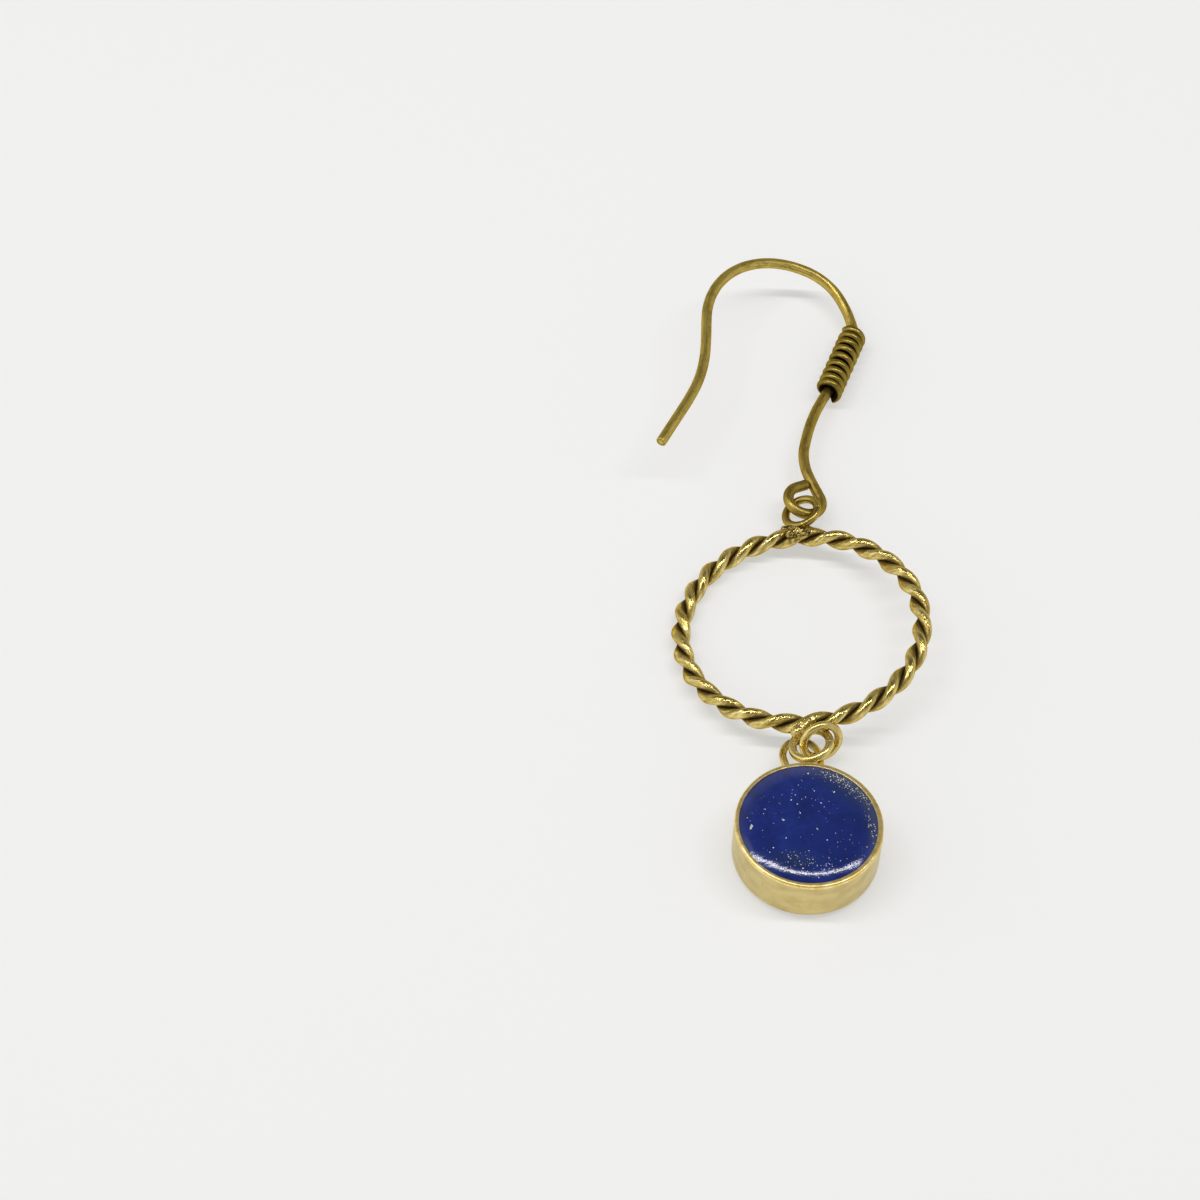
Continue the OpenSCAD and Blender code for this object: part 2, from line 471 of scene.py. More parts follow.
# Drawn wire that has aged: streaks along it, worn bright spots and a brown film in patches
def aged_wire(name, light, mid, dark, rough, seed=0, is_hook=False):
    n = Surface(name)
    wire = n.wire()
    streaks = n.streaks(wire, (0.5, 7.0, 7.0), (seed, 0, 0), 4.0, 0.6)
    fine = n.streaks(wire, (1.4, 26.0, 26.0), (seed, 3, 0), 2.0, 0.5)
    cloud = n.streaks(wire, (0.8, 1.3, 1.3), (seed + 9, 0, 0), 4.0, 0.6)
    worn = n.span(n.streaks(wire, (2.2, 4.5, 4.5), (seed, 7, 0), 3.0, 0.6), 0.58, 0.7)
    marks = n.span(n.streaks(wire, (9.0, 2.2, 2.2), (seed, 0, 5), 2.0), 0.66, 0.72)
    film = n.span(cloud, 0.52, 0.78, 0.0, 0.75)
    colour = n.ramp(streaks, {0.32: mid, 0.68: light})
    colour = n.mix(film, colour, dark)
    colour = n.mix(n.times(marks, 0.35), colour, dark)
    colour = n.mix(n.times(worn, 0.5), colour, tuple(1.35 * c for c in light))
    if is_hook:
        colour = hook_ageing(n, wire, cloud, colour, dark)
    # The groove mask paints shade and soot dark, on the coil its inner side and the gaps between
    # turns
    colour = n.mix(n.span(n.groove(), 0.12, 0.9), colour, COIL_SHADE_AND_SOOT)
    roughness = n.span(n.plus(fine, n.times(film, 0.35)), 0.3, 0.95, *rough)
    roughness = n.minus(roughness, n.times(worn, 0.1))
    height = n.plus(n.times(fine, 0.6), n.times(streaks, 0.8))
    normal = n.bump(n.minus(height, n.times(marks, 0.3)), 0.35, 0.00003)
    n.set(Specular_Tint=(0.5, 0.36, 0.13))
    return n.set(Base_Color=colour, Metallic=1.0, Roughness=roughness, Normal=normal)


# Hammered, twisted wire: worn crests, and grooves painted black-brown as shade and soot
def rope_metal(name):
    n = Surface(name)
    wire = n.wire()
    hammer = n.streaks(wire, (0.95, 2.8, 2.8), detail=2.0, roughness=0.5, distortion=0.4)
    grain = n.streaks(wire, (4.0, 9.0, 9.0), roughness=0.6)
    nicks = n.span(n.streaks(wire, (7.0, 12.0, 12.0), (4, 0, 0), 2.0, 0.5), 0.6, 0.7)
    # The darkening mask: painted shade and soot deep in the twist's groove, soot at the joint, and
    # patchy tarnish from the grain
    darkening = n.plus(n.groove(), n.span(grain, 0.35, 0.75, -0.08, 0.26))
    crest = {0.3: (0.44, 0.325, 0.085), 0.5: (0.68, 0.53, 0.165), 0.7: (0.95, 0.79, 0.34)}
    colour = n.mix(n.times(nicks, 0.6), n.ramp(hammer, crest), NICK_BROWN)
    colour = n.mix(n.span(darkening, 0.22, 0.6), colour, ROPE_BROWN)
    colour = n.mix(n.span(darkening, 0.58, 1.0), colour, ROPE_SHADE_AND_SOOT)
    roughness = n.span(darkening, 0.05, 0.8, 0.17, 0.6)
    metal = n.span(darkening, 0.6, 1.0, 1.0, 0.4)
    normal = n.bump(grain, 0.4, 0.00005, n.bump(hammer, 0.7, 0.00014))
    n.set(Specular_Tint=(0.62, 0.46, 0.17))
    return n.set(Base_Color=colour, Metallic=metal, Roughness=roughness, Normal=normal)


# The setting's rim is burnished brighter than its wall, and the wall turns darker and browner
# towards its foot
def burnished_rim(n, wire, brushed, colour, roughness, normal):
    height = n.add("ShaderNodeSeparateXYZ", Vector=wire).outputs[2]
    rim = n.span(n.plus(height, n.times(brushed, 0.06)), CUP_H - 0.34, CUP_H - 0.24)
    worked = n.noise(wire, 1.5, 3.0, 0.6)
    gold = n.ramp(worked, {0.36: (0.8, 0.575, 0.17), 0.6: (1.0, 0.81, 0.37)})
    colour = n.mix(rim, colour, gold)
    roughness = n.mix(rim, roughness, (RIM_ROUGHNESS,) * 3)
    normal = n.bump(n.times(worked, rim), 0.25, 0.0001, normal)
    # Darker and browner towards the wall's foot
    colour = n.mix(n.times(n.span(height, 0.45, 0.1), 0.45), colour, FOOT_BROWN)
    return colour, roughness, normal


# Pale brass that has been polished by hand, with soft dents and a warm film
def pale_brass(name, light, dark, stretch, rough, dents, tint, is_cup=False):
    n = Surface(name)
    wire = n.wire()
    broad = n.noise(n.stretched(wire, stretch), 0.55, 3.0, 0.5)
    brushed = n.streaks(wire, tuple(4.0 * s for s in stretch))
    specks = n.span(n.noise(wire, 4.2, 3.0, 0.6), 0.64, 0.74)
    colour = n.ramp(broad, {0.3: dark, 0.62: light})
    colour = n.mix(n.times(specks, 0.4), colour, tuple(0.45 * c for c in dark))
    roughness = n.span(brushed, 0.3, 0.7, *rough)
    normal = n.bump(brushed, 0.25, 0.00002, n.bump(broad, dents, 0.0002))
    if is_cup:
        colour, roughness, normal = burnished_rim(n, wire, brushed, colour, roughness, normal)
    # The groove mask darkens the setting eye's top as painted shade under the rings, and the lip's
    # edge at the stone
    darkening = n.span(n.groove(), 0.3, 1.0)
    colour = n.mix(darkening, colour, SHADE_AND_SEAM_DARK)
    n.set(Specular_Tint=tint, Metallic=n.minus(1.0, darkening))
    return n.set(Base_Color=colour, Roughness=roughness, Normal=normal)


# Solder and strands that melted together, aged like the twist, with dark pits
def solder_metal(name):
    n = Surface(name)
    place = n.wire()
    lumps = n.noise(place, 2.0, 2.0, 0.5)
    pits = n.span(n.noise(place, 2.8, 3.0, 0.6), 0.5, 0.58)
    colour = n.ramp(lumps, {0.35: (0.28, 0.2, 0.05), 0.65: (0.62, 0.48, 0.16)})
    colour = n.mix(n.times(pits, 0.85), colour, PIT_SOOT)
    roughness = n.span(lumps, 0.3, 0.7, 0.4, 0.2)
    normal = n.bump(lumps, 0.7, 0.00012)
    n.set(Specular_Tint=(0.6, 0.44, 0.16))
    return n.set(Base_Color=colour, Metallic=1.0, Roughness=roughness, Normal=normal)


# Deep blue stone under a clear polish, clouded, with a grey-green haze round its flecks
def lapis(name):
    n = Surface(name)
    place = n.wire()
    cloud = n.noise(place, 0.35, 5.0, 0.6, 0.6)
    grain = n.noise(place, 2.8, 4.0, 0.65)
    blues = {0.3: (0.005, 0.016, 0.13), 0.52: (0.009, 0.026, 0.205), 0.72: (0.014, 0.038, 0.265)}
    colour = n.ramp(cloud, blues)
    colour = n.mix(n.span(grain, 0.35, 0.75, 0.0, 0.45), colour, (0.003, 0.008, 0.065))
    haze = n.times(n.groove(), n.span(grain, 0.3, 0.7, 0.25, 1.0))
    colour = n.mix(n.times(haze, 0.85), colour, (0.022, 0.04, 0.07))
    roughness = n.span(grain, 0.3, 0.8, 0.1, 0.18)
    pits = n.noise(place, 4.5, 3.0, 0.6)
    normal = n.bump(pits, 0.3, 0.00003, n.bump(cloud, 0.1, 0.0003))
    n.set(Coat_Weight=0.7, Coat_Roughness=0.04, Coat_Normal=normal, IOR=1.5)
    return n.set(Base_Color=colour, Roughness=roughness, Normal=normal)


def pyrite(name):
    n = Surface(name)
    tone = n.noise(n.wire(), 1.9, 1.0, 0.5)
    colour = n.ramp(tone, {0.35: (0.42, 0.42, 0.38), 0.6: (1.0, 0.98, 0.92)})
    roughness = n.span(tone, 0.3, 0.7, 0.55, 0.3)
    return n.set(Base_Color=colour, Metallic=0.15, Roughness=roughness)


hook_metal = aged_wire(
    "hook_brass", light=(0.72, 0.555, 0.145), mid=(0.47, 0.35, 0.075), dark=(0.18, 0.12, 0.026),
    rough=(0.3, 0.48), is_hook=True,
)
coil_metal = aged_wire(
    "coil_brass", light=(0.4, 0.3, 0.065), mid=(0.24, 0.172, 0.032), dark=(0.09, 0.06, 0.01),
    rough=(0.24, 0.42), seed=40,
)
twist_metal = rope_metal("twist_brass")
eye_metal = pale_brass(
    "eye_brass", light=(0.52, 0.395, 0.1), dark=(0.33, 0.235, 0.05), stretch=(0.9, 2.4, 2.4),
    rough=(0.2, 0.34), dents=0.3, tint=(0.6, 0.45, 0.16),
)
link_metal = pale_brass(
    "link_brass", light=(0.84, 0.69, 0.27), dark=(0.42, 0.305, 0.078), stretch=(0.7, 3.2, 3.2),
    rough=(0.2, 0.34), dents=0.3, tint=(0.8, 0.66, 0.3),
)
cup_metal = pale_brass(
    "cup_brass", light=(0.69, 0.56, 0.25), dark=(0.57, 0.445, 0.17), stretch=(1.1, 1.1, 1.8),
    rough=(0.26, 0.4), dents=0.15, tint=(1.0, 1.0, 0.95), is_cup=True,
)
bead_metal = solder_metal("solder_brass")
stone_blue = lapis("lapis_blue")
fleck_metal = pyrite("pyrite")

# The ear hook, placed by the middle of its straight leg
leg_frame = move(*LEG_AT) @ turn("Y", HOOK_LEAN) @ turn("Z", LEG_HEADING)
to_leg = Matrix.Identity(4)
for row in HOOK_BENDS[: LEG_ROW + 1]:
    for step, _ in row_steps(row):
        to_leg = to_leg @ step
hook_start = leg_frame @ to_leg.inverted()
hook_frames = chain([step for row in HOOK_BENDS for step in row_steps(row)], hook_start)


# The solid's bends are short straight chords, so the smooth wire keeps to their inner side
def hug_chords(frames, spread=0.7):
    lengths = np.array([s for _, s in frames])
    inward = np.zeros(len(frames))
    s = 0.0
    for straight, radius, bend, _ in HOOK_BENDS:
        s += straight
        arc = radius * math.radians(abs(bend))
        if bend:
            chord = math.radians(bend / math.ceil(abs(bend) / BEND_STEP))
            sag = radius * (1 - math.cos(chord / 2))
            inward[(lengths > s) & (lengths <= s + arc)] = math.copysign(sag, bend)
        s += arc
    near = np.exp(-(((lengths[:, None] - lengths[None]) / spread) ** 2))
    inward = (near * inward).sum(1) / near.sum(1)
    return [(m @ move(0, float(d)), s) for (m, s), d in zip(frames, inward)]


shape = Shape()
wire_mesh(
    shape, hug_chords(hook_frames), HOOK_R - HOOK_TRIM, dent=0.012, seed=HOOK_FROM, sides=32
)
ear_hook = shape.piece("ear_hook_wire", [hook_metal])

# The coil round its leg, left-handed, with its middle turns a little looser
coil_r = HOOK_R + COIL_WIRE_R + CLEARANCE
lead = math.degrees(math.atan(COIL_PITCH / (2 * math.pi * coil_r)))
coil_frames = []
coil_steps = round(COIL_TURNS * COIL_STEPS_PER_TURN)
for i in range(coil_steps + 1):
    a = 360 * COIL_TURNS * i / coil_steps
    eased = COIL_EASE * math.sin(math.radians(a / COIL_TURNS)) / (2 * math.pi)
    x = COIL_SHIFT + COIL_PITCH * (a / 360 - COIL_TURNS * (0.5 + eased))
    x += 0.02 * rough_at(a / 200, 5.0, 0.0)
    at = leg_frame @ move(x) @ turn("X", COIL_START - a) @ move(0, coil_r) @ turn("Y", 90 - lead)
    coil_frames.append((at, 2 * math.pi * coil_r * a / 360))


# Painted shade and soot darken the coil on its inner side and between its turns
def coil_shade_and_soot(s, y):
    return clamped((0.78 - y) / 0.85)


shape = Shape()
wire_mesh(
    shape, coil_frames, COIL_WIRE_R - COIL_TRIM, dent=0.015, seed=11.0, sides=20, sunk=coil_shade_and_soot
)
wire_coil = shape.piece("wound_coil", [coil_metal])

# The hoop: a wire that goes round twice and twists with itself, two eyes, and their solder
hoop_place = placed(HOOP_AT, HOOP_TILT)


# A point in the strand's middle and one in the twist's, at a bearing round the hoop
def strand_centre(a):
    lay = HOOP_TWISTS * a + TWIST_PHASE - TWIST_EASE * math.cos(math.radians(a - TWIST_EASE_AT))
    m = turn("Z", a) @ move(HOOP_R) @ turn("Z", 90) @ turn("X", -lay)
    return m @ Vector((0, STRAND_OFFSET, 0)), m.translation.copy()


def strand_frames(nearby=0.05):
    frames, s = [], 0.0
    for i in range(STRAND_STEPS):
        a = 90 + 720 * i / STRAND_STEPS
        p, core = strand_centre(a)
        ahead, _ = strand_centre(a + nearby)
        behind, _ = strand_centre(a - nearby)
        heading = (ahead - behind).normalized()
        out = (p - core).normalized()
        out = (out - heading * out.dot(heading)).normalized()
        m = Matrix((heading, out, heading.cross(out))).transposed().to_4x4()
        m.translation = p
        frames.append((hoop_place @ m, s, hoop_place @ core, a % 360))
        s += (strand_centre(a + 720 / STRAND_STEPS)[0] - p).length
    return frames


# The strand is faceted by the hammer, worn on its crests, painted dark with shade and soot deep in
# the groove, and sooty at the joint
def strand_mesh(shape, seed):
    points, wire, groove, rows = [], [], [], []
    for m, s, core, bearing in strand_frames():
        rows.append(list(range(len(points), len(points) + STRAND_SIDES)))
        for j in range(STRAND_SIDES):
            t = 2 * math.pi * j / STRAND_SIDES
            y, z = math.cos(t), math.sin(t)
            facet = 0.02 * rough_at(s * 0.75 + seed, y * 0.9, z * 0.9)
            worn = 0.03 * max(0.0, y - 0.75) / 0.25 * (0.5 + 0.5 * math.sin(s * 1.1 + seed))
            r = STRAND_R * (1 - worn) + facet - STRAND_TRIM
            p = m @ Vector((0, r * y, r * z))
            points.append(tuple(p))
            wire.append((s, STRAND_R * y, STRAND_R * z))
            # How deep the point lies in the twist's groove, where shade and soot are painted
            sunk = max(0.0, (GROOVE_FROM - (p - core).length) / GROOVE_DEPTH)
            joint = 0.55 * math.exp(-(((bearing - JOINT_AT) / JOINT_SPREAD) ** 2))
            groove.append(min(1.0, sunk + joint * (0.6 + noise.noise(p * 3.5))))
    shape.add(points, skin(rows, closed=True), wire, groove)


def hoop_point(bearing, out, up):
    return hoop_place @ turn("Z", bearing) @ Vector((HOOP_R + out, 0, up))


# Balls of solder, each as (x, y, z, radius), before they run together
def ball_meshes(beads, rows=16, cols=24):
    points, faces = [], []
    for *centre, radius in beads:
        grid = []
        for i in range(rows + 1):
            lat = math.pi * (i / rows - 0.5)
            grid.append(list(range(len(points), len(points) + cols)))
            for j in range(cols):
                lon = 2 * math.pi * j / cols
                flat = math.cos(lat)
                d = Vector((flat * math.cos(lon), flat * math.sin(lon), math.sin(lat)))
                points.append(tuple(Vector(centre) + d * radius))
        faces += skin(grid)
    return points, faces


# Beads of solder that have run together, lumpy where they cooled
def solder_mesh(shape, beads, seed, slot):
    points, faces = ball_meshes(beads)
    data = bpy.data.meshes.new("beads")
    data.from_pydata(points, [], faces)
    piece = bpy.data.objects.new("beads", data)
    bpy.context.scene.collection.objects.link(piece)
    remesh = piece.modifiers.new("remesh", "REMESH")
    remesh.mode = "VOXEL"
    remesh.voxel_size = 0.045
    smooth = piece.modifiers.new("smooth", "SMOOTH")
    smooth.iterations = 6
    bpy.context.view_layer.update()
    done = piece.evaluated_get(bpy.context.evaluated_depsgraph_get()).to_mesh()
    points = []
    for v in done.vertices:
        x, y, z = v.co
        lump = 0.05 * rough_at(x * 2.2 + seed, y * 2.2, z * 2.2)
        lump += 0.04 * rough_at(x * 4.5 + seed, y * 4.5, z * 4.5)
        points.append(tuple(v.co + v.normal * lump))
    faces = [tuple(p.vertices) for p in done.polygons]
    bpy.data.objects.remove(piece)
    shape.add(points, faces, list(points), [0.0] * len(points), slot)


TOP_BEADS = [
    (*hoop_point(88 + 1.5 * k, 0.8 + (0.055 if k < 0 else 0.025) * k, 0.1), 0.42 + 0.03 * min(0, k))
    for k in range(-6, 7)
]
TOP_BEADS += [(0.5 * k, 3.15 + 0.1 * k, 2.86 + 0.03 * k, 0.46) for k in range(4)]
TOP_BEADS += [
    (0.15, 2.85, 3.12, 0.27),
    (0.75, 2.7, 3.14, 0.26),
    (1.25, 2.95, 3.18, 0.26),
    (0.6, 3.45, 3.2, 0.27),
]
LOW_BEADS = [(*hoop_point(277 + 1.5 * k, 0.9, 0.1), 0.42) for k in range(-6, 3)]
LOW_BEADS += [
    (0.4 + 0.18 * k, -19.55 + 0.15 * k, 3.42 + 0.04 * k, 0.5 - 0.01 * k) for k in range(9)
]
LOW_BEADS += [(0.9, -19.0, 3.95, 0.16), (1.5, -18.7, 4.02, 0.18), (0.45, -19.2, 3.75, 0.18)]

hoop_metals = [twist_metal, eye_metal, bead_metal, link_metal]
TOP_EYE_SLOT, TOP_BEAD_SLOT, LOW_SLOT = 1, 2, 3
shape = Shape()
strand_mesh(shape, 2.0)
for (at, tilt, r), seed, slot in ((TOP_EYE, 5.0, TOP_EYE_SLOT), (LOW_EYE, 25.0, LOW_SLOT)):
    ring = ring_frames(placed(at, tilt), r, RING_STEPS)
    wire_mesh(shape, ring, EYE_WIRE_R, dent=0.03, seed=seed, closed=True, slot=slot)
solder_mesh(shape, TOP_BEADS, 3.0, TOP_BEAD_SLOT)
solder_mesh(shape, LOW_BEADS, 8.0, LOW_SLOT)
twisted_hoop = shape.piece("twisted_hoop_wires", hoop_metals)

# The jump ring
jump_place = move(*JUMP_AT) @ turn("Z", JUMP_TURN) @ turn("X", JUMP_LEAN)
ring = ring_frames(jump_place, JUMP_R, RING_STEPS)
shape = Shape()
wire_mesh(shape, ring, JUMP_WIRE_R, dent=0.012, seed=77.0, closed=True)
jump_ring = shape.piece("jump_ring_wire", [link_metal])

# The setting: a turned cup whose lip is burnished by hand, and its eye of wire
cup_place = move(*CUP_AT)
cavity_r = CUP_R - CUP_WALL


# The wall is a little uneven, and the lip leans in over the stone, more so on its right
def hand_work(a, r, z):
    if r < cavity_r + 0.02 and z < CUP_H - 0.7:
        return 0.0, 0.0
    lip = max(0.0, (z - CUP_H + 0.5) / 0.5)
    soft = rough_at(2.2 * math.cos(a), 2.2 * math.sin(a), 0.5 * z)
    quick = rough_at(9.0 * math.cos(a), 9.0 * math.sin(a), 4.0)
    inward = clamped((CUP_R - 0.16 - r) / 0.2) if z > CUP_H - 0.6 else 0.0
    wide = inward * (-0.06 - 0.06 * math.cos(a) + 0.02 * math.sin(a))
    return 0.008 * soft - CUP_TRIM + 0.008 * lip * (quick - 0.5) + wide, 0.012 * lip * (quick - 1)


# The lip's inner edge is darker where it meets the stone
def lip_seam_dark(r, a):
    return 0.6 if r < cavity_r - RIM_LIP + 0.06 else 0.0


rim_r = CUP_R - RIM_ROUND
lip_r = cavity_r - RIM_LIP + LIP_ROUND
profile = [(0, 0.0), (CUP_R - CUP_EDGE, 0.0)]
profile += arc_points(CUP_R - CUP_EDGE, CUP_EDGE, CUP_EDGE, -90, 0, 12)[1:]
profile += [(CUP_R, CUP_EDGE + (CUP_H - 0.3 - CUP_EDGE) * k / 12) for k in range(1, 13)]
profile += arc_points(rim_r, CUP_H - RIM_ROUND, RIM_ROUND, 20, 90, 8)
profile += [(lip_r + 0.01, CUP_H - 0.004)]
profile += arc_points(lip_r, CUP_H - LIP_ROUND, LIP_ROUND, 100, 180, 5)
profile += [(cavity_r, CUP_H - 0.5), (cavity_r, CUP_FLOOR), (0, CUP_FLOOR)]
shape = Shape()
lathe_mesh(shape, cup_place, profile, CUP_STEPS, hand_work, lip_seam_dark)

lean_in = math.radians(BAIL_SIDE_BEND - BAIL_FLARE)
flare = math.radians(BAIL_FLARE)
oval = BAIL_TOP_R * math.cos(lean_in) + BAIL_SIDE_R * (math.cos(flare) - math.cos(lean_in))
half_gap = oval - BAIL_LEG * math.sin(flare)
bail_start = (
    move(CUP_AT[0] + BAIL_SHIFT, CUP_AT[1], CUP_AT[2] + BAIL_Z)
    @ turn("Z", BAIL_AZIMUTH)
    @ move(CUP_R)
    @ turn("Y", BAIL_DIP)
    @ move(-BAIL_SINK, -half_gap)
)
bail_leg = BAIL_LEG + BAIL_SINK
top_bend = 180 - 2 * (BAIL_SIDE_BEND - BAIL_FLARE)
bail_steps = [(turn("Z", -BAIL_FLARE), 0.0)]
bail_steps += row_steps((bail_leg, BAIL_SIDE_R, BAIL_SIDE_BEND, 0), 2.0, 0.1)
bail_steps += row_steps((0, BAIL_TOP_R, top_bend, 0), 3.0)
bail_steps += row_steps((0, BAIL_SIDE_R, BAIL_SIDE_BEND, 0))
bail_steps += [(move(bail_leg / BAIL_LEG_STEPS), bail_leg / BAIL_LEG_STEPS)] * BAIL_LEG_STEPS
bail_frames = chain(bail_steps, bail_start)
bail_length = bail_frames[-1][1]


# Solder widens the wire's two feet
def foot(s):
    near = min(s, bail_length - s) - BAIL_SINK
    return 0.09 * math.exp(-max(0.0, near) / 0.16)


# The setting's eye is painted dark at its top, as shade where it lies inside the rings
def bail_painted_shade(s, y):
    return clamped(1.15 * math.exp(-(((s - bail_length / 2) / 1.9) ** 2)))


wire_mesh(
    shape, bail_frames, BAIL_WIRE_R, dent=0.012, seed=90.0, slot=1, flare=foot, sunk=bail_painted_shade
)
bezel_cup = shape.piece("setting", [cup_metal, link_metal])

# The stone: a low cabochon with a rounded shoulder, its edge under the lip
inner_r = cavity_r - CLEARANCE
edge_r = inner_r - RIM_LIP
edge_z = CUP_H - 0.13
top_z = CUP_H + STONE_RISE
DOME = 0.02


def stone_top(r):
    inside = clamped((edge_r - r) / (SHOULDER_REACH * SHOULDER))
    rise = 1 - (1 - inside) ** SHOULDER_CURVE
    return edge_z + (top_z - DOME - edge_z) * rise + DOME * (1 - (r / edge_r) ** 2)


profile = [(0, CUP_FLOOR + CLEARANCE), (inner_r, CUP_FLOOR + CLEARANCE)]
profile += [(inner_r, CUP_H - 0.55), (edge_r, CUP_H - 0.48)]
for k in range(STONE_ROWS):
    r = edge_r - (edge_r - 0.05) * (k / (STONE_ROWS - 1)) ** 1.8
    profile.append((r, stone_top(r)))
profile.append((0, top_z))

# Grey-green patches as centre, two half-widths and bearing
HAZES = [
    (2.7, 4.3, 1.8, 0.85, -28),
    (4.5, 2.7, 1.3, 0.75, -50),
    (-1.2, -3.9, 1.3, 0.6, -6),
    (5.5, -0.8, 0.3, 1.4, 5),
]


def haze_at(r, a):
    x, y, total = r * math.cos(a), r * math.sin(a), 0.0
    for cx, cy, sx, sy, angle in HAZES:
        c, s = math.cos(math.radians(angle)), math.sin(math.radians(angle))
        u, v = (x - cx) * c + (y - cy) * s, (y - cy) * c - (x - cx) * s
        total += math.exp(-0.5 * ((u / sx) ** 2 + (v / sy) ** 2))
    return min(1.0, total)


# The stone's edge reaches further under the lip on its left
def off_centre(a, r, z):
    outward = clamped((r - edge_r + 0.8) / 0.8) if z > CUP_H - 0.6 else 0.0
    return outward * (0.03 - 0.03 * math.cos(a)), 0.0


shape = Shape()
lathe_mesh(shape, cup_place, profile, STONE_STEPS, off_centre, haze_at)
stone = shape.piece("lapis_cabochon", [stone_blue])

# Pyrite flecks lie flush in the polished top: large ones as (x, y, size)
BIG_FLECKS = [
    (-4.98, -0.76, 0.2), (-2.25, 0.08, 0.17), (0.64, -0.7, 0.09), (2.14, 3.15, 0.09),
    (1.01, 1.96, 0.06), (1.27, 1.57, 0.06), (-1.55, 2.15, 0.07), (-1.04, 1.76, 0.07),
    (-0.79, 0.86, 0.06), (-4.29, -3.55, 0.06), (-2.0, -1.73, 0.06), (1.48, -1.77, 0.06),
    (-0.07, 5.01, 0.08), (-1.46, 3.18, 0.05), (-1.21, 2.68, 0.05), (0.43, 3.17, 0.05),
    (-0.94, 3.72, 0.06), (4.87, -2.21, 0.06), (5.5, 0.15, 0.05),
]
# Fine ones in drifts, as centre, two spreads, bearing, count and size
DRIFTS = [
    (2.1, 4.8, 0.75, 0.3, -25, 80, 0.06),
    (3.2, 4.1, 0.7, 0.35, -30, 60, 0.055),
    (4.5, 2.9, 0.8, 0.35, -48, 70, 0.06),
    (-1.3, -3.9, 1.0, 0.5, -8, 60, 0.054),
    (0.9, -4.3, 0.9, 0.35, 10, 30, 0.05),
    (5.35, -0.6, 0.22, 1.2, 10, 40, 0.052),
    (-0.2, 2.3, 0.9, 0.6, 0, 16, 0.038),
    (2.7, -1.7, 0.8, 0.6, 0, 16, 0.036),
    (-4.4, 0.7, 0.6, 0.25, 15, 12, 0.04),
]
LONE_FLECKS = 90
LONE_FLECK_SIZE = 0.026


# A flat chip with random corners, tipped a little so that it glints on its own
def fleck(shape, x, y, size):
    r = math.hypot(x, y)
    if r > edge_r - 0.12:
        return
    z = stone_top(r) + 0.002 + 0.15 * size
    slope = (stone_top(r + 0.02) - stone_top(max(0.0, r - 0.02))) / 0.04
    corners = random.randint(5, 8)
    start = random.uniform(0, 360)
    long_way = random.uniform(0, math.pi)
    tip_x, tip_y = random.uniform(-0.22, 0.22), random.uniform(-0.22, 0.22)
    points = [(CUP_AT[0] + x, CUP_AT[1] + y, z)]
    for k in range(corners):
        a = math.radians(start + 360 * k / corners)
        d = size * random.uniform(0.6, 1.25) * (1.0 + 0.35 * math.cos(2 * (a - long_way)))
        px, py = x + d * math.cos(a), y + d * math.sin(a)
        tipped = tip_x * (px - x) + tip_y * (py - y)
        down = slope * (math.hypot(px, py) - r)
        points.append((CUP_AT[0] + px, CUP_AT[1] + py, z + down + tipped))
    faces = [(0, 1 + k, 1 + (k + 1) % corners) for k in range(corners)]
    tint = (random.uniform(0, 90), random.uniform(0, 90), 0.0)
    shape.add(points, faces, [tint] * len(points), [0.0] * len(points))


shape = Shape()
for x, y, size in BIG_FLECKS:
    fleck(shape, x, y, size)
for cx, cy, sx, sy, angle, count, size in DRIFTS:
    c, s = math.cos(math.radians(angle)), math.sin(math.radians(angle))
    for _ in range(count):
        u, v = random.gauss(0, sx), random.gauss(0, sy)
        smaller = 0.78 * size * random.uniform(0.35, 1.3) ** 1.5
        fleck(shape, cx + u * c - v * s, cy + u * s + v * c, smaller)
for _ in range(LONE_FLECKS):
    a, r = random.uniform(0, 2 * math.pi), edge_r * math.sqrt(random.random())
    smaller = LONE_FLECK_SIZE * random.uniform(0.4, 1.2)
    fleck(shape, r * math.cos(a), r * math.sin(a), smaller)
flecks = shape.piece("pyrite_flecks", [fleck_metal])

for piece, node, slot in (
    (ear_hook, "ear_hook", "hook_brass"),
    (wire_coil, "wire_coil", "hook_brass"),
    (twisted_hoop, "twisted_hoop", "hoop_brass"),
    (jump_ring, "jump_ring", "pale_brass"),
    (bezel_cup, "bezel_cup", "pale_brass"),
    (stone, "lapis_stone", "lapis"),
):
    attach(piece, "root")
    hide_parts(node)
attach(flecks, "root")

# The camera stands where the photographer's did, with lengths in millimetres
ELEVATION, ROLL = math.radians(52.8), math.radians(2.3)
DISTANCE = 281.6
AIM = Vector((-17.26, -3.27, 0))
forward = Vector((0, math.cos(ELEVATION), -math.sin(ELEVATION)))
upright = Vector((0, math.sin(ELEVATION), math.cos(ELEVATION)))
level = Vector((1, 0, 0))
right = level * math.cos(ROLL) + upright * math.sin(ROLL)
up = -level * math.sin(ROLL) + upright * math.cos(ROLL)
camera_data = bpy.data.cameras.new("camera")
camera_data.lens = 92.0
camera_data.sensor_width = 36.0
camera_data.clip_start = 0.01
camera_data.clip_end = 20.0
camera_data.dof.use_dof = False
camera = bpy.data.objects.new("camera", camera_data)
place = Matrix((right, up, -forward)).transposed().to_4x4()
place.translation = (AIM - forward * DISTANCE) * MM
camera.matrix_world = place
bpy.context.scene.collection.objects.link(camera)
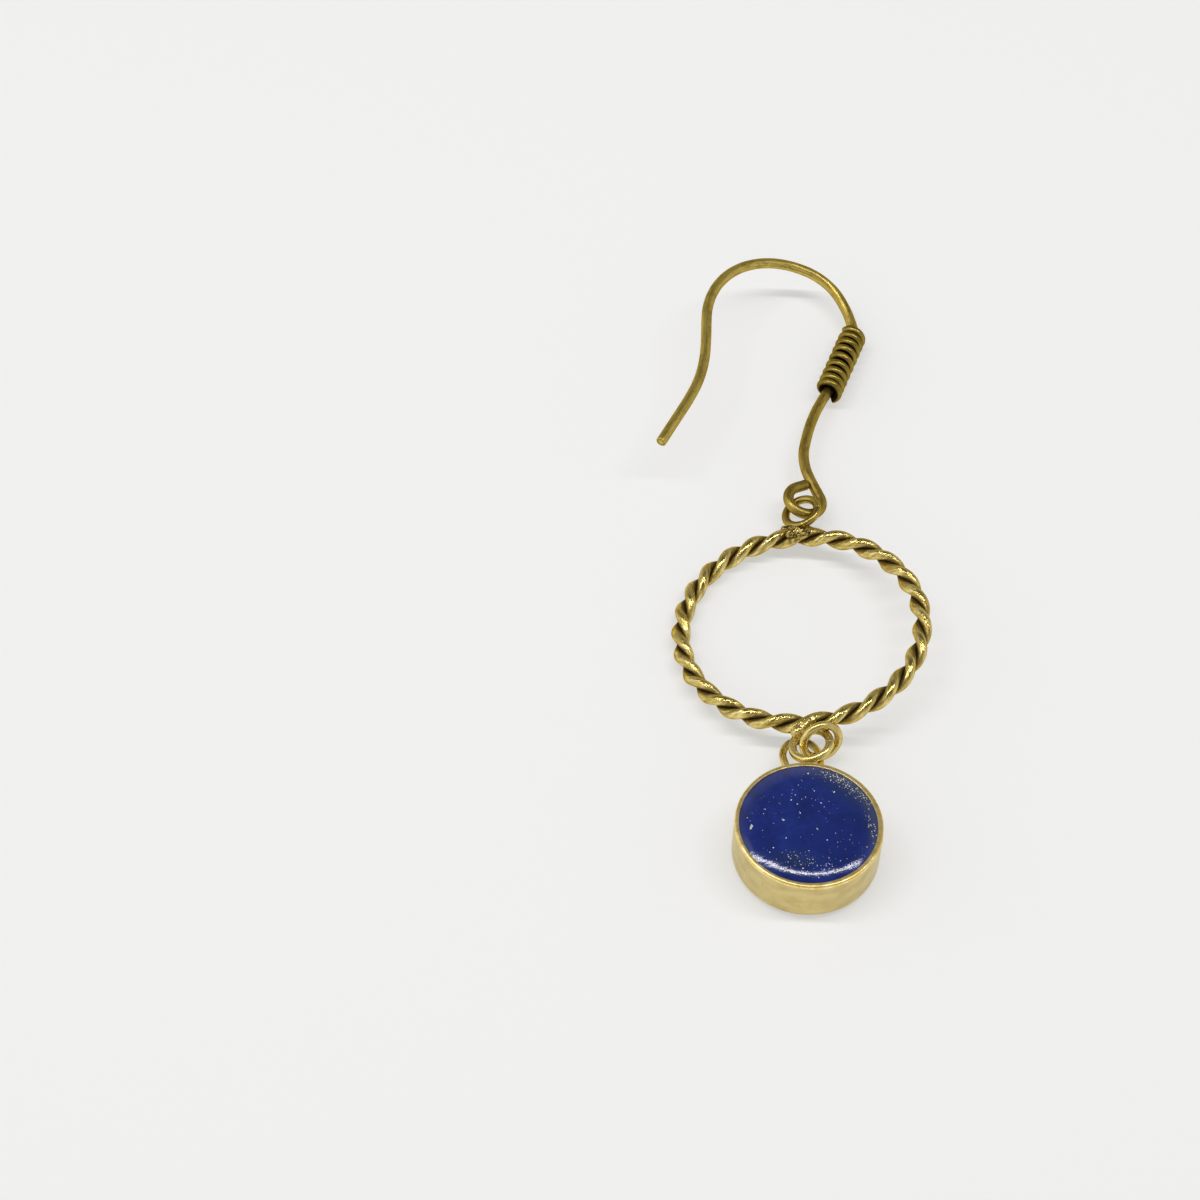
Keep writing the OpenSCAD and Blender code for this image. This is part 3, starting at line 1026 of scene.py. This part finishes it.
bpy.context.scene.camera = camera

# A pale floor that glows a little, in metres, so that the shadows on it stay faint
FLOOR_HALF = 3.0
FLOOR_DROP = 0.00002
corners = [(FLOOR_HALF * x, FLOOR_HALF * y, 0) for x, y in ((-1, -1), (1, -1), (1, 1), (-1, 1))]
floor_mesh = bpy.data.meshes.new("floor")
floor_mesh.from_pydata(corners, [], [(0, 1, 2, 3)])
floor = bpy.data.objects.new("floor", floor_mesh)
floor.location.z = -FLOOR_DROP
paper = Surface("floor_paper")
paper.set(Base_Color=(0.56, 0.56, 0.557), Roughness=0.8, Specular_IOR_Level=0.0)
paper.set(Emission_Color=(1.0, 1.0, 0.995), Emission_Strength=0.405)
floor_mesh.materials.append(paper.material)
bpy.context.scene.collection.objects.link(floor)


# Soft light from a rectangle that faces the origin
def soft_light(name, at, size, power):
    data = bpy.data.lights.new(name, "AREA")
    data.shape = "RECTANGLE"
    data.size, data.size_y = size
    data.energy = power
    light = bpy.data.objects.new(name, data)
    light.location = at
    light.rotation_euler = (-Vector(at)).to_track_quat("-Z", "Y").to_euler()
    bpy.context.scene.collection.objects.link(light)


# The narrow light draws the bright arc on the stone
soft_light("overhead", (0.0, 0.015, 0.6), (0.95, 0.035), 2.2)
soft_light("left", (-0.65, -0.1, 0.5), (0.8, 0.8), 0.9)

# Bright walls under a dark ceiling, dimmer on the side that the camera faces
world = bpy.data.worlds.new("studio")
world.use_nodes = True
sky = Graph(world.node_tree)
direction = sky.add("ShaderNodeTexCoord").outputs["Generated"]
ceiling = sky.span(sky.dot(direction, (0, 0, 1)), 0.45, 0.92, 0.65, 0.11, "SMOOTHSTEP")
far_side = sky.span(sky.dot(direction, (0, 1, 0)), 0.15, 0.7, 1.0, 0.6)
background = world.node_tree.nodes["Background"]
sky.feed(background.inputs["Strength"], sky.times(ceiling, far_side))
sky.feed(background.inputs["Color"], (1.0, 0.995, 0.985))
bpy.context.scene.world = world
bpy.context.scene.view_settings.view_transform = "Standard"

bpy.context.view_layer.update()
